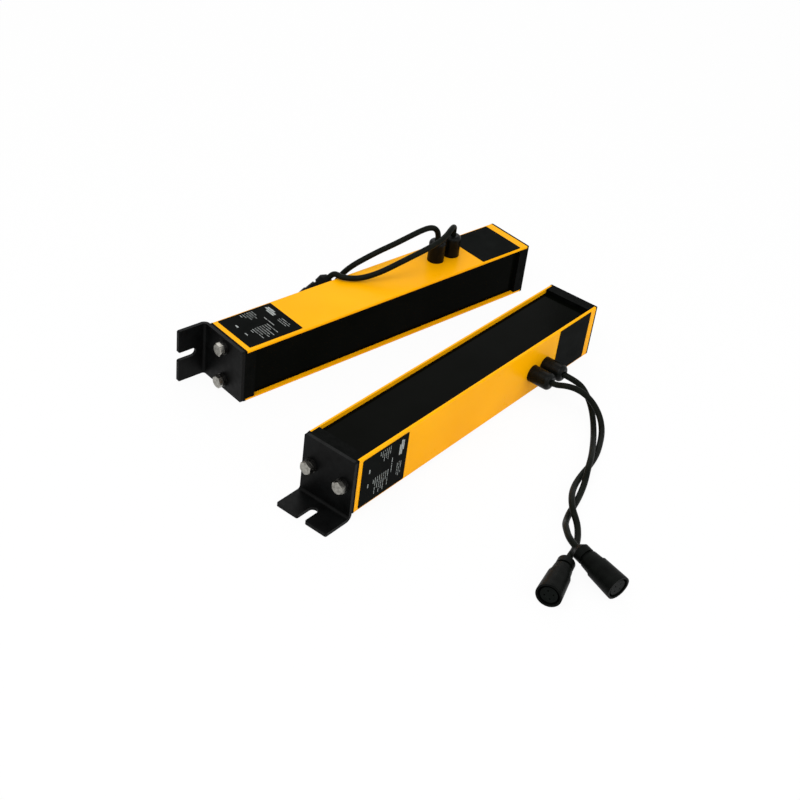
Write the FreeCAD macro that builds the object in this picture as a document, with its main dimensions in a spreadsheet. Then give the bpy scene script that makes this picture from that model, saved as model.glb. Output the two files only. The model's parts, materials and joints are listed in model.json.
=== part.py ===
import FreeCAD, Part
import math
import os
import re

import Sketcher
from FreeCAD import Placement, Rotation, Vector

# Safety light curtain: an emitter bar and a receiver bar, each with two plugged leads.
#
# Millimetres, +Z up. Each bar is drawn in its own frame: x runs from its near end to its
# far end, y runs across it, and z goes from its back face (0) up to its window side.
# The two bars are mirror images, so side = -1 or +1 says which way the label face looks.

os.makedirs("parts", exist_ok=True)
doc = FreeCAD.newDocument("LightCurtain")

# Driving dimensions, one cell each.
SIZES = {
    # housing: a square channel, open on the window side
    "bar_length": 325.0,
    "bar_side": 50.0,
    "wall": 2.0,
    "edge_round": 0.8,
    "rib": 1.2,
    "rib_reach": 2.0,
    "ledge_reach": 2.6,
    "slide_gap": 0.1,
    # window panel and its seal
    "window_recess": 3.75,
    "window_thick": 3.0,
    "seal_thick": 0.8,
    "side_gap": 0.15,
    # end caps and gaskets
    "gasket_thick": 0.5,
    "plate_thick": 1.5,
    "plug_depth": 9.0,
    "cap_screw_hole": 3.0,
    "cap_screw_head": 5.6,
    "cap_screw_sink": 1.5,
    "cap_screw_long": 8.0,
    "cap_screw_from_end": 4.5,
    "cap_screw_pitch": 20.0,
    "screw_gap": 0.05,
    # bracket and its bolts
    "bracket_thick": 3.0,
    "foot_gap": 2.5,
    "foot_reach": 26.0,
    "bend_inner": 2.5,
    "bracket_corner": 1.5,
    "slot_width": 7.5,
    "slot_depth": 17.5,
    "bolt_pitch": 32.0,
    "bolt_size": 6.0,
    "bolt_clear_hole": 6.6,
    "bolt_flats": 10.0,
    "bolt_head": 4.0,
    "bolt_reach": 8.0,
    "washer_outer": 12.0,
    "washer_thick": 1.6,
    "spring_outer": 10.8,
    "spring_thick": 1.6,
    # labels
    "name_label_long": 54.5,
    "name_label_high": 45.5,
    "far_label_long": 49.0,
    "far_label_high": 47.2,
    "label_thick": 0.3,
    "label_corner": 1.0,
    "name_label_from_end": 4.5,
    "far_label_from_end": 8.0,
    "label_from_back": 1.5,
    # cable glands
    "gland_from_far": 93.0,
    "gland_pitch": 19.0,
    "gland_rise": 22.0,
    "gland_outer": 15.4,
    "gland_thread": 12.0,
    "gland_thread_long": 8.0,
    "gland_collar": 9.5,
    "gland_upper_long": 5.5,
    "gland_upper": 12.6,
    "gland_nut_long": 10.8,
    "gland_dome": 3.6,
    "gland_split": 0.2,
    "gland_bore": 6.4,
    "gland_mouth": 6.2,
    "gland_lip": 1.2,
    "seal_outer": 9.8,
    "seal_seat": 8.0,
    "seal_socket": 0.5,
    "locknut_flats": 15.0,
    "locknut_thick": 4.0,
    "rib_groove": 1.2,
    # optics inside
    "beam_first": 32.5,
    "carrier_flange": 1.5,
    "carrier_width": 24.0,
    "carrier_drop": 14.2,
    "carrier_from_cap": 1.0,
    "lens_size": 9.0,
    "lens_thick": 2.5,
    "lens_seat": 2.9,
    "tube_size": 6.0,
    "diode_size": 3.0,
    "diode_high": 3.0,
    "board_thick": 1.6,
    # control board inside
    "board_rise": 5.2,
    "control_from_near": 90.0,
    "control_from_far": 55.0,
    "terminal_long": 40.0,
    "terminal_wide": 12.0,
    "terminal_high": 10.0,
    # leads and their round plugs
    "cord_size": 5.2,
    "cord_gap": 0.1,
    "plug_long": 46.0,
    "plug_nut_size": 14.0,
    "plug_nut_long": 10.5,
    "plug_nut_face": 7.2,
    "plug_nut_cone": 4.2,
    "plug_socket": 2.0,
    "plug_neck": 11.4,
    "plug_neck_long": 2.5,
    "plug_body_rear": 14.8,
    "plug_body_front": 16.4,
    "plug_body_long": 9.0,
    "plug_sleeve": 13.2,
    "plug_collar": 15.6,
    "plug_collar_long": 1.2,
    "insert_size": 13.4,
    "insert_long": 4.2,
    "insert_set_back": 0.8,
    "contact_hole": 1.4,
    "contact_circle": 7.0,
    "contact_depth": 3.0,
    "ring_rear": 18.0,
    "ring_front": 20.0,
    "ring_bore": 16.8,
    "ring_lip": 2.4,
    "ring_gap": 0.3,
}
BEAMS = 14
GLAND_RIBS = 12
RING_RIBS = 18
CONTACTS = 4

sheet = doc.addObject("Spreadsheet::Sheet", "driving")
sheet.Label = "driving dimensions"
for row, (name, value) in enumerate(SIZES.items(), 1):
    sheet.set(f"A{row}", name)
    sheet.set(f"B{row}", str(value))
    sheet.setAlias(f"B{row}", name)
doc.recompute()


def size(name):
    """The number in one of the sheet's cells."""
    return float(sheet.get(name))


def bound(text):
    """An expression on the sheet's cells, from their bare names."""
    return re.sub(r"[a-z]\w*", lambda word: "driving." + word.group(0), text)


def bind(thing, **properties):
    for name, text in properties.items():
        thing.setExpression(name.replace("__", "."), bound(text))
    return thing


# Places that several pieces share, as expressions.
INNER = "(bar_side / 2 - wall)"
FIRST_GLAND = "(bar_length - gland_from_far)"
LEDGE_TOP = "(bar_side - window_recess - window_thick - seal_thick)"
LEDGE_FOOT = f"({LEDGE_TOP} - rib)"
FLANGE_FOOT = f"({LEDGE_FOOT} - carrier_flange - slide_gap)"
CARRIER_FOOT = f"({FLANGE_FOOT} - carrier_drop)"
BOARD_SLOT_TOP = "(board_rise + board_thick + slide_gap)"
PLATE_FACE = "(gasket_thick + plate_thick)"
BRACKET_FACE = f"({PLATE_FACE} + bracket_thick)"
FOOT_OUTER = "(foot_gap + bracket_thick)"
MIDDLE = "(bar_side / 2)"


# Building blocks.


def new_body(name):
    return doc.addObject("PartDesign::Body", name)


def new_sketch(body, name, plane):
    sketch = body.newObject("Sketcher::SketchObject", name)
    support = [o for o in body.Origin.OriginFeatures if o.Role == plane][0]
    sketch.AttachmentSupport = (support, "")
    sketch.MapMode = "FlatFace"
    return sketch


def place_points(sketch, wanted):
    """Fixes sketch points to the origin: wanted holds (geometry, point, x text, y text)."""
    for geometry, point, x_text, y_text in wanted:
        here = sketch.getPoint(geometry, point)
        for kind, text, value in (("DistanceX", x_text, here.x), ("DistanceY", y_text, here.y)):
            number = sketch.addConstraint(Sketcher.Constraint(kind, -1, 1, geometry, point, value))
            sketch.setExpression(f"Constraints[{number}]", bound(text))


def outline(body, name, plane, points):
    """A closed outline of straight lines through points given as expressions."""
    sketch = new_sketch(body, name, plane)
    count = len(points)
    turns = [2 * math.pi * i / count for i in range(count)]
    start = [Vector(100 * math.cos(t), 100 * math.sin(t), 0) for t in turns]
    for i in range(count):
        sketch.addGeometry(Part.LineSegment(start[i], start[(i + 1) % count]), False)
    joins = [Sketcher.Constraint("Coincident", i, 2, (i + 1) % count, 1) for i in range(count)]
    sketch.addConstraint(joins)
    place_points(sketch, [(i, 1, x, y) for i, (x, y) in enumerate(points)])
    return sketch


def circles(body, name, plane, spots):
    """Circles given as (x, y, diameter) expressions."""
    sketch = new_sketch(body, name, plane)
    for i, (x_text, y_text, across) in enumerate(spots):
        sketch.addGeometry(Part.Circle(Vector(10 * i, 5, 0), Vector(0, 0, 1), 2), False)
        number = sketch.addConstraint(Sketcher.Constraint("Diameter", i, 4))
        sketch.setExpression(f"Constraints[{number}]", bound(across))
        place_points(sketch, [(i, 3, x_text, y_text)])
    return sketch


def pad(body, sketch, length, both_ways=False, back=False):
    feature = body.newObject("PartDesign::Pad", body.Name + "_pad")
    feature.Profile = sketch
    feature.Midplane = both_ways
    feature.Reversed = back
    bind(feature, Length=length)
    return feature


def cut_through(body, sketch):
    """A pocket through the whole body, both ways from its sketch."""
    feature = body.newObject("PartDesign::Pocket", body.Name + "_cut")
    feature.Profile = sketch
    feature.Type = "ThroughAll"
    feature.Midplane = True
    return feature


def turned(name, points):
    """A solid of revolution about z, from its (radius, height) outline."""
    body = new_body(name)
    sketch = outline(body, name + "_outline", "XZ_Plane", points)
    feature = body.newObject("PartDesign::Revolution", name + "_turn")
    feature.Profile = sketch
    feature.ReferenceAxis = (sketch, ["V_Axis"])
    feature.Angle = 360
    return body


def ribbed(body, circle, groove, count):
    """Cuts count grooves along z around a turned body, on a circle of that diameter."""
    sketch = circles(body, body.Name + "_groove", "XY_Plane", [(f"{circle} / 2", "0", groove)])
    first = cut_through(body, sketch)
    around = body.newObject("PartDesign::PolarPattern", body.Name + "_grooves")
    around.Originals = [first]
    around.Axis = ([o for o in body.Origin.OriginFeatures if o.Role == "Z_Axis"][0], [""])
    around.Angle = 360
    around.Occurrences = count
    body.Tip = around
    return body


def edges_where(shape, test):
    """Names of the edges whose middle point, direction and length pass the test."""
    names = []
    for i, edge in enumerate(shape.Edges, 1):
        middle = edge.valueAt((edge.FirstParameter + edge.LastParameter) / 2)
        if test(edge, middle):
            names.append(f"Edge{i}")
    return names


def rounded(body, radius, test):
    """Rounds the edges of the body's tip that pass the test."""
    doc.recompute()
    base = body.Tip
    feature = body.newObject("PartDesign::Fillet", body.Name + "_round")
    feature.Base = (base, edges_where(base.Shape, test))
    bind(feature, Radius=radius)
    return feature


def runs_along(edge, axis):
    """Whether a straight edge is parallel to the axis."""
    if not isinstance(edge.Curve, Part.Line):
        return False
    return abs(abs(edge.Curve.Direction.dot(axis)) - 1) < 1e-6


def near(value, wanted):
    return abs(value - wanted) < 1e-3


X_AXIS, Y_AXIS, Z_AXIS = Vector(1, 0, 0), Vector(0, 1, 0), Vector(0, 0, 1)


def box(name, low, spans):
    """A block from its lowest corner and its three spans, all expressions."""
    block = doc.addObject("Part::Box", name)
    bind(block, Length=spans[0], Width=spans[1], Height=spans[2])
    return put(block, low)


def rod(name, across, length, low, axis=Z_AXIS):
    """A cylinder of a diameter and a length, from its first end's centre, along the axis."""
    cylinder = doc.addObject("Part::Cylinder", name)
    cylinder.Placement = Placement(Vector(), Rotation(Z_AXIS, axis))
    bind(cylinder, Radius=f"({across}) / 2", Height=length)
    return put(cylinder, low)


def put(thing, low):
    for letter, text in zip("xyz", low):
        thing.setExpression("Placement.Base." + letter, bound(text))
    return thing


def cut(name, base, tool):
    feature = doc.addObject("Part::Cut", name)
    feature.Base = base
    feature.Tool = tool
    return feature


def fused(name, pieces):
    feature = doc.addObject("Part::MultiFuse", name)
    feature.Shapes = pieces
    return feature


def group(name, pieces):
    feature = doc.addObject("Part::Compound", name)
    feature.Links = pieces
    return feature


# One bar's pieces. name is emitter or receiver, and side is where its label face looks.


def housing(name, side):
    body = new_body(name + "_housing")
    rib_edge = f"({INNER} - rib_reach)"
    half = [
        ("bar_side / 2", "0"),
        ("bar_side / 2", "bar_side"),
        (INNER, "bar_side"),
        (INNER, LEDGE_TOP),
        (f"({INNER} - ledge_reach)", LEDGE_TOP),
        (f"({INNER} - ledge_reach)", LEDGE_FOOT),
        (INNER, LEDGE_FOOT),
        (INNER, FLANGE_FOOT),
        (rib_edge, FLANGE_FOOT),
        (rib_edge, f"{FLANGE_FOOT} - rib"),
        (INNER, f"{FLANGE_FOOT} - rib"),
        (INNER, f"{BOARD_SLOT_TOP} + rib"),
        (rib_edge, f"{BOARD_SLOT_TOP} + rib"),
        (rib_edge, BOARD_SLOT_TOP),
        (INNER, BOARD_SLOT_TOP),
        (INNER, "board_rise"),
        (rib_edge, "board_rise"),
        (rib_edge, "board_rise - rib"),
        (INNER, "board_rise - rib"),
        (INNER, "wall"),
    ]
    mirrored = [(f"-{y}" if y.startswith("(") else f"-({y})", z) for y, z in reversed(half)]
    pad(body, outline(body, name + "_section", "YZ_Plane", half + mirrored), "bar_length")
    gland_holes = circles(
        body,
        name + "_gland_holes",
        "XZ_Plane",
        [(f"{FIRST_GLAND} + {i} * gland_pitch", "gland_rise", "gland_thread") for i in range(2)],
    )
    holes = body.newObject("PartDesign::Pocket", name + "_gland_cut")
    holes.Profile = gland_holes
    holes.Type = "ThroughAll"
    holes.Reversed = side < 0
    half_side = size("bar_side") / 2
    rounded(
        body,
        "edge_round",
        lambda edge, at: runs_along(edge, X_AXIS) and near(abs(at.y), half_side),
    )
    sinks = group(name + "_cap_screw_room", cap_screws(name + "_room", "screw_gap"))
    return cut(name + "_bored_housing", body, sinks)


def cap_screws(name, gap):
    """Four countersunk screws through the back wall, two at each end, grown by a gap."""
    screws = []
    places = [
        (x_text, f"{turn} * cap_screw_pitch / 2")
        for x_text in ("cap_screw_from_end", "bar_length - cap_screw_from_end")
        for turn in (-1, 1)
    ]
    for i, (x_text, y_text) in enumerate(places):
        shank = rod(
            f"{name}_shank_{i}",
            f"cap_screw_hole - 2 * screw_gap + 2 * {gap}",
            f"cap_screw_long + {gap}",
            (x_text, y_text, "0"),
        )
        head = doc.addObject("Part::Cone", f"{name}_head_{i}")
        bind(
            head,
            Radius1=f"cap_screw_head / 2 + {gap}",
            Radius2=f"cap_screw_hole / 2 - screw_gap + {gap}",
            Height="cap_screw_sink",
        )
        put(head, (x_text, y_text, "0"))
        screws.append(fused(f"{name}_{i}", [shank, head]))
    return screws


def cap_outline():
    half = "bar_side / 2"
    return [(f"-{half}", "0"), (half, "0"), (half, "bar_side"), (f"-{half}", "bar_side")]


def end_cap(name, far):
    """A plate on the profile's end with a plug that fills it, drilled for two bolts."""
    body = new_body(name)
    neck = f"({INNER} - ledge_reach - side_gap)"
    wide = f"({INNER} - side_gap)"
    step = f"{LEDGE_TOP} + side_gap"
    pad(body, outline(body, name + "_plate", "YZ_Plane", cap_outline()), "plate_thick")
    plug = outline(
        body,
        name + "_plug",
        "YZ_Plane",
        [
            (f"-{neck}", "wall + side_gap"),
            (neck, "wall + side_gap"),
            (neck, step),
            (wide, step),
            (wide, "bar_side"),
            (f"-{wide}", "bar_side"),
            (f"-{wide}", step),
            (f"-{neck}", step),
        ],
    )
    pad(body, plug, "plate_thick + gasket_thick + plug_depth")
    spots = [(f"{turn} * bolt_pitch / 2", MIDDLE, "bolt_size") for turn in (-1, 1)]
    cut_through(body, circles(body, name + "_holes", "YZ_Plane", spots))
    half_side = size("bar_side") / 2
    rounded(
        body,
        "edge_round",
        lambda edge, at: runs_along(edge, X_AXIS) and near(abs(at.y), half_side),
    )
    if far:
        body.Placement = Placement(Vector(), Rotation(Z_AXIS, 180))
        bind(body, Placement__Base__x=f"bar_length + {PLATE_FACE}")
    else:
        bind(body, Placement__Base__x=f"-{PLATE_FACE}")
    return body


def bored_cap(name, unit, far):
    """The end cap with the holes for the screws that hold it in the housing."""
    room = group(name + "_room", cap_screws(name + "_hole", "screw_gap"))
    return cut(name, end_cap(f"{name}_blank", far), room)


def end_gaskets(name):
    pieces = []
    window = f"({INNER} - side_gap / 2)"
    for end, x_text in (("near", "-gasket_thick"), ("far", "bar_length")):
        body = new_body(f"{name}_{end}")
        rim = outline(body, f"{name}_{end}_rim", "YZ_Plane", cap_outline())
        pad(body, rim, "gasket_thick")
        inside = [
            (f"-{window}", "wall"),
            (window, "wall"),
            (window, "bar_side + wall"),
            (f"-{window}", "bar_side + wall"),
        ]
        cut_through(body, outline(body, f"{name}_{end}_inside", "YZ_Plane", inside))
        bind(body, Placement__Base__x=x_text)
        pieces.append(body)
    return group(name, pieces)


def bracket(name):
    body = new_body(name)
    side_view = outline(
        body,
        name + "_side",
        "XZ_Plane",
        [
            (f"-{PLATE_FACE}", "bar_side"),
            (f"-{BRACKET_FACE}", "bar_side"),
            (f"-{BRACKET_FACE}", "-foot_gap"),
            (f"-({BRACKET_FACE} + foot_reach)", "-foot_gap"),
            (f"-({BRACKET_FACE} + foot_reach)", f"-{FOOT_OUTER}"),
            (f"-{PLATE_FACE}", f"-{FOOT_OUTER}"),
        ],
    )
    pad(body, side_view, "bar_side", both_ways=True)
    inside_x = -(size("gasket_thick") + size("plate_thick") + size("bracket_thick"))
    outside_x = inside_x + size("bracket_thick")
    end_x = inside_x - size("foot_reach")
    low_z = -(size("foot_gap") + size("bracket_thick"))
    rounded(
        body,
        "bend_inner",
        lambda e, at: runs_along(e, Y_AXIS) and near(at.x, inside_x) and near(at.z, -size("foot_gap")),
    )
    rounded(
        body,
        "bend_inner + bracket_thick",
        lambda e, at: runs_along(e, Y_AXIS) and near(at.x, outside_x) and near(at.z, low_z),
    )
    half_slot = "slot_width / 2"
    slot_end = f"-({BRACKET_FACE} + foot_reach - slot_depth + {half_slot})"
    mouth = f"-({BRACKET_FACE} + foot_reach + {half_slot})"
    slot = outline(
        body,
        name + "_slot",
        "XY_Plane",
        [(mouth, f"-{half_slot}"), (slot_end, f"-{half_slot}"), (slot_end, half_slot), (mouth, half_slot)],
    )
    cut_foot(body, slot)
    cut_foot(body, circles(body, name + "_slot_round", "XY_Plane", [(slot_end, "0", "slot_width")]))
    spots = [(f"{turn} * bolt_pitch / 2", MIDDLE, "bolt_clear_hole") for turn in (-1, 1)]
    cut_through(body, circles(body, name + "_holes", "YZ_Plane", spots))
    rounded(body, "bracket_corner", lambda e, at: runs_along(e, Z_AXIS) and near(at.x, end_x))
    rounded(body, "bracket_corner", lambda e, at: runs_along(e, X_AXIS) and near(at.z, size("bar_side")))
    return body


def cut_foot(body, sketch):
    """A pocket down through the bracket's foot only."""
    feature = body.newObject("PartDesign::Pocket", body.Name + "_foot_cut")
    feature.Profile = sketch
    feature.Type = "ThroughAll"
    return feature


def bracket_bolts(name):
    bolts = []
    under_head = f"({BRACKET_FACE} + washer_thick + spring_thick)"
    for i, turn in enumerate((-1, 1)):
        y_text = f"{turn} * bolt_pitch / 2"
        top = f"-({under_head} + bolt_head)"
        head = doc.addObject("Part::Prism", f"{name}_head_{i}")
        head.Polygon = 6
        head.Placement = Placement(Vector(), Rotation(Z_AXIS, X_AXIS))
        bind(head, Circumradius="bolt_flats * 0.57735", Height="bolt_head")
        put(head, (top, y_text, MIDDLE))
        cone = doc.addObject("Part::Cone", f"{name}_chamfer_{i}")
        cone.Placement = Placement(Vector(), Rotation(Z_AXIS, X_AXIS))
        bind(cone, Radius1="bolt_flats * 0.475", Radius2="bolt_flats * 0.475 + bolt_head * 1.732")
        bind(cone, Height="bolt_head")
        put(cone, (top, y_text, MIDDLE))
        trimmed = doc.addObject("Part::Common", f"{name}_trimmed_{i}")
        trimmed.Base = head
        trimmed.Tool = cone
        shank = rod(
            f"{name}_shank_{i}",
            "bolt_size - 2 * screw_gap",
            f"{under_head} + bolt_reach",
            (f"-{under_head}", y_text, MIDDLE),
            X_AXIS,
        )
        bolts.append(fused(f"{name}_{i}", [trimmed, shank]))
    return group(name, bolts)


def bolt_washers(name):
    """A plain washer on the bracket and a split spring washer under the head, at each bolt."""
    pieces = []
    for i, turn in enumerate((-1, 1)):
        y_text = f"{turn} * bolt_pitch / 2"
        plain_x = f"-({BRACKET_FACE} + washer_thick)"
        spring_x = f"-({BRACKET_FACE} + washer_thick + spring_thick)"
        for kind, x_text in (("washer", plain_x), ("spring", spring_x)):
            at = (x_text, y_text, MIDDLE)
            disc = rod(f"{name}_{kind}_disc_{i}", f"{kind}_outer", f"{kind}_thick", at, X_AXIS)
            hole = rod(f"{name}_{kind}_hole_{i}", "bolt_clear_hole", f"{kind}_thick", at, X_AXIS)
            ring = cut(f"{name}_{kind}_ring_{i}", disc, hole)
            if kind == "spring":
                split = box(
                    f"{name}_split_{i}",
                    (x_text, f"{y_text} - spring_thick / 4", MIDDLE),
                    ("spring_thick", "spring_thick / 2", "spring_outer"),
                )
                ring = cut(f"{name}_open_ring_{i}", ring, split)
            pieces.append(ring)
    return group(name, pieces)


def window(name):
    low = ("plug_depth", f"-{INNER} + side_gap", f"{LEDGE_TOP} + seal_thick")
    return box(name, low, ("bar_length - 2 * plug_depth", f"2 * ({INNER} - side_gap)", "window_thick"))


def window_seal(name):
    """A flat frame of sealing tape between the window and the ledges it lies on."""
    body = new_body(name)
    wide = f"({INNER} - side_gap)"
    edge = f"({INNER} - ledge_reach)"
    ends = ("plug_depth", "bar_length - plug_depth")
    frame = [(ends[0], f"-{wide}"), (ends[1], f"-{wide}"), (ends[1], wide), (ends[0], wide)]
    pad(body, outline(body, name + "_frame", "XY_Plane", frame), "seal_thick")
    inner_ends = ("plug_depth + ledge_reach", "bar_length - plug_depth - ledge_reach")
    hole = [
        (inner_ends[0], f"-{edge}"),
        (inner_ends[1], f"-{edge}"),
        (inner_ends[1], edge),
        (inner_ends[0], edge),
    ]
    cut_through(body, outline(body, name + "_hole", "XY_Plane", hole))
    bind(body, Placement__Base__z=LEDGE_TOP)
    return body


def label(name, side, start, kind):
    """A thin plate on the label face. kind is name or far and picks the size cells."""
    body = new_body(name)
    face = f"{side} * bar_side / 2"
    ends = (start, f"{start} + {kind}_label_long")
    rows = ("label_from_back", f"label_from_back + {kind}_label_high")
    corners = [(ends[0], rows[0]), (ends[1], rows[0]), (ends[1], rows[1]), (ends[0], rows[1])]
    pad(body, outline(body, name + "_plate", "XZ_Plane", corners), "label_thick", back=side > 0)
    rounded(body, "label_corner", lambda edge, at: runs_along(edge, Y_AXIS))
    bind(body, Placement__Base__y=face)
    return body


def on_label_face(pieces, side):
    """Turns gland pieces drawn along z so that they stand on the label face, one per gland."""
    for i, piece in enumerate(pieces):
        piece.Placement = Placement(Vector(), Rotation(Z_AXIS, Vector(0, side, 0)))
        put(piece, (f"{FIRST_GLAND} + {i} * gland_pitch", f"{side} * bar_side / 2", "gland_rise"))
    return pieces


def gland_bodies(name, side):
    shoulder = "gland_collar + gland_upper_long"
    points = [
        ("gland_bore / 2", "-gland_thread_long"),
        ("gland_thread / 2 - screw_gap", "-gland_thread_long"),
        ("gland_thread / 2 - screw_gap", "0"),
        ("gland_outer / 2", "0"),
        ("gland_outer / 2", "gland_collar"),
        ("gland_upper / 2", "gland_collar"),
        ("gland_upper / 2", shoulder),
        ("seal_outer / 2 + cord_gap", shoulder),
        ("seal_outer / 2 + cord_gap", "seal_seat"),
        ("gland_bore / 2", "seal_seat"),
    ]
    return group(name, on_label_face([turned(f"{name}_{i}", points) for i in range(2)], side))


def gland_top():
    return "(gland_collar + gland_split + gland_nut_long)"


def gland_nuts(name, side):
    base = "gland_collar + gland_split"
    roof = "gland_collar + gland_upper_long + gland_split"
    lip = f"{gland_top()} - gland_lip"
    points = [
        ("gland_upper / 2 + screw_gap", base),
        ("gland_outer / 2", base),
        ("gland_outer / 2", gland_top()),
        ("gland_mouth / 2", gland_top()),
        ("gland_mouth / 2", lip),
        ("seal_outer / 2 + 2 * cord_gap", lip),
        ("seal_outer / 2 + 2 * cord_gap", roof),
        ("gland_upper / 2 + screw_gap", roof),
    ]
    nuts = []
    for i in range(2):
        nut = turned(f"{name}_{i}", points)
        rim = size("gland_outer") / 2
        top_z = size("gland_collar") + size("gland_split") + size("gland_nut_long")
        rounded(nut, "gland_dome", lambda e, at: near(at.z, top_z) and near(math.hypot(at.x, at.y), rim))
        nuts.append(ribbed(nut, "gland_outer + rib_groove", "2 * rib_groove", GLAND_RIBS))
    return group(name, on_label_face(nuts, side))


def gland_seals(name, side):
    top = f"{gland_top()} - gland_lip - gland_split"
    socket = "cord_size / 2 + cord_gap"
    points = [
        ("0", "seal_seat"),
        ("seal_outer / 2", "seal_seat"),
        ("seal_outer / 2", top),
        (socket, top),
        (socket, f"{top} - seal_socket"),
        ("0", f"{top} - seal_socket"),
    ]
    return group(name, on_label_face([turned(f"{name}_{i}", points) for i in range(2)], side))


def gland_locknuts(name, side):
    nuts = []
    for i in range(2):
        blank = doc.addObject("Part::Prism", f"{name}_blank_{i}")
        blank.Polygon = 6
        bind(blank, Circumradius="locknut_flats * 0.57735", Height="locknut_thick")
        hole = rod(f"{name}_hole_{i}", "gland_thread + screw_gap", "locknut_thick", ("0", "0", "0"))
        nuts.append(cut(f"{name}_{i}", blank, hole))
    for i, nut in enumerate(nuts):
        nut.Placement = Placement(Vector(), Rotation(Z_AXIS, Vector(0, -side, 0)))
        put(nut, (f"{FIRST_GLAND} + {i} * gland_pitch", f"{side} * {INNER}", "gland_rise"))
    return group(name, nuts)


def beam_x(i):
    return f"beam_first + {i} * (bar_length - 2 * beam_first) / {BEAMS - 1}"


def lens_carrier(name):
    """A moulded rail in the profile's upper grooves, with a light tube for each beam."""
    start = "plug_depth + carrier_from_cap"
    length = "bar_length - 2 * (plug_depth + carrier_from_cap)"
    flange = box(
        name + "_flange",
        (start, f"-{INNER} + side_gap", FLANGE_FOOT),
        (length, f"2 * ({INNER} - side_gap)", "carrier_flange"),
    )
    beam = box(
        name + "_beam",
        (start, "-carrier_width / 2", CARRIER_FOOT),
        (length, "carrier_width", "carrier_drop"),
    )
    rail = fused(name + "_rail", [flange, beam])
    holes = []
    for i in range(BEAMS):
        tall = "carrier_drop + carrier_flange"
        holes.append(rod(f"{name}_tube_{i}", "tube_size", tall, (beam_x(i), "0", CARRIER_FOOT)))
        seat = (beam_x(i), "0", f"{FLANGE_FOOT} + carrier_flange - lens_seat")
        holes.append(rod(f"{name}_seat_{i}", "lens_size + cord_gap", "lens_seat", seat))
    return cut(name, rail, group(name + "_holes", holes))


def lenses(name):
    low = f"{FLANGE_FOOT} + carrier_flange - lens_seat"
    return group(
        name,
        [rod(f"{name}_{i}", "lens_size", "lens_thick", (beam_x(i), "0", low)) for i in range(BEAMS)],
    )


def optic_board(name):
    low = ("plug_depth + carrier_from_cap", "-carrier_width / 2", f"{CARRIER_FOOT} - board_thick")
    length = "bar_length - 2 * (plug_depth + carrier_from_cap)"
    return box(name, low, (length, "carrier_width", "board_thick"))


def diodes(name):
    spots = [(beam_x(i), "0", CARRIER_FOOT) for i in range(BEAMS)]
    return group(name, [rod(f"{name}_{i}", "diode_size", "diode_high", at) for i, at in enumerate(spots)])


def control_board(name):
    low = ("control_from_near", f"-{INNER} + side_gap", "board_rise")
    long = "bar_length - control_from_near - control_from_far"
    return box(name, low, (long, f"2 * ({INNER} - side_gap)", "board_thick"))


def terminal_block(name):
    low = (f"{FIRST_GLAND} - terminal_long / 2", "-terminal_wide / 2", "board_rise + board_thick")
    return box(name, low, ("terminal_long", "terminal_wide", "terminal_high"))


# The round plugs, drawn along z from the rear face of the nut (0) to the front.

BODY_START = "(plug_nut_long + plug_neck_long)"
BODY_END = f"({BODY_START} + plug_body_long)"
SLEEVE_END = "(plug_long - insert_set_back - insert_long)"


def plug_shell(name):
    lip_room = "ring_lip + 2 * ring_gap"
    body = turned(
        name,
        [
            ("0", "plug_nut_long"),
            ("plug_neck / 2", "plug_nut_long"),
            ("plug_neck / 2", BODY_START),
            ("plug_body_rear / 2", BODY_START),
            ("plug_body_front / 2", BODY_END),
            ("plug_sleeve / 2", BODY_END),
            ("plug_sleeve / 2", f"{BODY_END} + {lip_room}"),
            ("plug_collar / 2", f"{BODY_END} + {lip_room}"),
            ("plug_collar / 2", f"{BODY_END} + {lip_room} + plug_collar_long"),
            ("plug_sleeve / 2", f"{BODY_END} + {lip_room} + plug_collar_long"),
            ("plug_sleeve / 2", SLEEVE_END),
            ("0", SLEEVE_END),
        ],
    )
    return body


def plug_ring(name):
    """The coupling ring, which turns on the sleeve between the body and the collar."""
    start = f"{BODY_END} + ring_gap"
    body = turned(
        name,
        [
            ("plug_sleeve / 2 + ring_gap", start),
            ("ring_rear / 2", start),
            ("ring_front / 2", "plug_long - ring_lip"),
            ("ring_front / 2", "plug_long"),
            ("ring_bore / 2", "plug_long"),
            ("ring_bore / 2", f"{start} + ring_lip"),
            ("plug_sleeve / 2 + ring_gap", f"{start} + ring_lip"),
        ],
    )
    return ribbed(body, "ring_front + rib_groove", "1.5 * rib_groove", RING_RIBS)


def plug_nut(name):
    socket = "cord_size / 2 + cord_gap"
    return turned(
        name,
        [
            ("0", "plug_socket"),
            (socket, "plug_socket"),
            (socket, "0"),
            ("plug_nut_face / 2", "0"),
            ("plug_nut_size / 2", "plug_nut_cone"),
            ("plug_nut_size / 2", "plug_nut_long"),
            ("0", "plug_nut_long"),
        ],
    )


def plug_insert(name):
    body = turned(
        name,
        [
            ("0", SLEEVE_END),
            ("insert_size / 2", SLEEVE_END),
            ("insert_size / 2", "plug_long - insert_set_back"),
            ("0", "plug_long - insert_set_back"),
        ],
    )
    holes = []
    for i in range(CONTACTS):
        turn = math.radians(45 + 360 / CONTACTS * i)
        spot = (
            f"contact_circle / 2 * {math.cos(turn):.6f}",
            f"contact_circle / 2 * {math.sin(turn):.6f}",
            "plug_long - insert_set_back - contact_depth",
        )
        holes.append(rod(f"{name}_hole_{i}", "contact_hole", "contact_depth", spot))
    return cut(name + "_bored", body, group(name + "_holes", holes))


# Where the bars lie on the table. The receiver lies on its side along X, label up. The
# emitter lies on its back, turned a little, on its bracket's foot and its far edge.

EMITTER_TURN = 9.64
EMITTER_CORNER = (-20.0, -214.5)


def receiver_place():
    return Placement(Vector(0, 0, size("bar_side") / 2), Rotation(X_AXIS, 90))


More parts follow.
